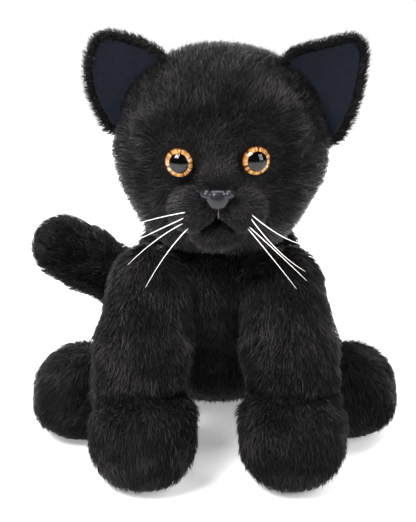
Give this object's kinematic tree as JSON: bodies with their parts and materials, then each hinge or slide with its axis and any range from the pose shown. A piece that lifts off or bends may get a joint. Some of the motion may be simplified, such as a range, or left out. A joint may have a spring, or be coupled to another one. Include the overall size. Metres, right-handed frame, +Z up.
{
  "type": "plush cat",
  "caption": "Stuffed black plush cat, sitting upright with front paws forward, round head, cupped ears, amber safety eyes, moulded nose, bristle whiskers and a curled club tail.",
  "frame": {"origin": "the middle of the flat seat the cat sits on", "axes": "+Z up, the cat faces -Y, its own left side is +X"},
  "size_m": [0.2421, 0.2549, 0.2736],
  "materials": {
    "fur": "black plush fur, short combed pile",
    "velour": "blue-black short velour",
    "filling": "polyester fibre filling",
    "eye_clear": "clear polished dome",
    "eye_amber": "amber printed iris with a black pupil",
    "washer": "natural moulded plastic",
    "nose": "glossy black moulded nose",
    "mouth_thread": "twisted embroidery thread",
    "seam_thread": "black sewing thread",
    "whisker": "off-white nylon bristle",
    "pouch": "woven cotton over plastic beans"
  },
  "bodies": {
    "torso": {"torso_back": "fur", "torso_belly": "fur", "seat_panel": "fur", "torso_stuffing": "filling", "bean_pouch": "pouch", "closing_seam_thread": "seam_thread"},
    "neck": {"neck_stuffing": "filling"},
    "head": {"head_crown": "fur", "head_back": "fur", "cheek_left": "fur", "cheek_right": "fur", "muzzle": "fur", "chin": "fur", "head_stuffing": "filling", "nose": "nose", "nose_washer": "washer", "mouth_stitch": "mouth_thread", "eye_dome_left": "eye_clear", "eye_dome_right": "eye_clear", "eye_iris_left": "eye_amber", "eye_iris_right": "eye_amber", "eye_washer_left": "washer", "eye_washer_right": "washer", "whiskers_left": "whisker", "whiskers_right": "whisker", "ear_back_left": "fur", "ear_back_right": "fur", "ear_lining_left": "velour", "ear_lining_right": "velour"},
    "tail": {"tail_skin": "fur", "tail_stuffing": "filling"},
    "front_leg_left": {"front_leg_sleeve_left": "fur", "front_paw_left": "fur", "front_leg_stuffing_left": "filling"},
    "hind_leg_left": {"hind_thigh_left": "fur", "hind_foot_left": "fur", "hind_leg_stuffing_left": "filling"},
    "front_leg_right": {"front_leg_sleeve_right": "fur", "front_paw_right": "fur", "front_leg_stuffing_right": "filling"},
    "hind_leg_right": {"hind_thigh_right": "fur", "hind_foot_right": "fur", "hind_leg_stuffing_right": "filling"}
  },
  "joints": [
    {"name": "head_turn", "type": "hinge", "parent": "torso", "child": "neck", "pos_m": [0, -0.1, 0.152], "axis": [0, 0, 1], "range_deg": [-35, 35]},
    {"name": "head_nod", "type": "hinge", "parent": "neck", "child": "head", "pos_m": [0, -0.1, 0.152], "axis": [-1, 0, 0], "range_deg": [-8, 10]},
    {"name": "front_leg_swing_left", "type": "hinge", "parent": "torso", "child": "front_leg_left", "pos_m": [0.035, -0.12, 0.116], "axis": [-1, 0, 0], "range_deg": [0, 45]},
    {"name": "front_leg_swing_right", "type": "hinge", "parent": "torso", "child": "front_leg_right", "pos_m": [-0.035, -0.12, 0.116], "axis": [-1, 0, 0], "range_deg": [0, 45]},
    {"name": "hind_leg_splay_left", "type": "hinge", "parent": "torso", "child": "hind_leg_left", "pos_m": [0.045, -0.028, 0.03], "axis": [0, 0, 1], "range_deg": [0, 30]},
    {"name": "hind_leg_splay_right", "type": "hinge", "parent": "torso", "child": "hind_leg_right", "pos_m": [-0.045, -0.028, 0.03], "axis": [0, 0, -1], "range_deg": [0, 30]},
    {"name": "tail_swing", "type": "hinge", "parent": "torso", "child": "tail", "pos_m": [0, 0.026, 0.044], "axis": [0, 0, 1], "range_deg": [-25, 6]}
  ]
}
